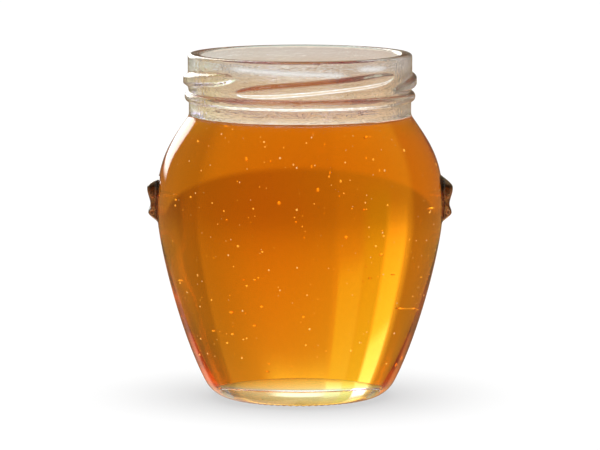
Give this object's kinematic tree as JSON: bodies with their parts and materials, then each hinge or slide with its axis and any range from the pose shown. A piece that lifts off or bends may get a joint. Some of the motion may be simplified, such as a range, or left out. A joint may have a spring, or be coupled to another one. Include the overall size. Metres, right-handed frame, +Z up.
{
  "type": "honey jar",
  "caption": "Small clear glass jar with cast side ears and a twist-off threaded neck, its lid off, filled with amber honey up to the foot of the neck.",
  "frame": {"origin": "centre of the ring that the jar stands on", "axes": "+Z up along the jar's axis, the ears at the two ends of X, the pictured front towards -Y"},
  "size_m": [0.0634, 0.0594, 0.0715],
  "materials": {
    "clear_glass": "clear and glossy",
    "honey": "clear amber and glossy"
  },
  "bodies": {
    "root": {"glass_jar": "clear_glass", "honey": "honey"}
  },
  "joints": []
}
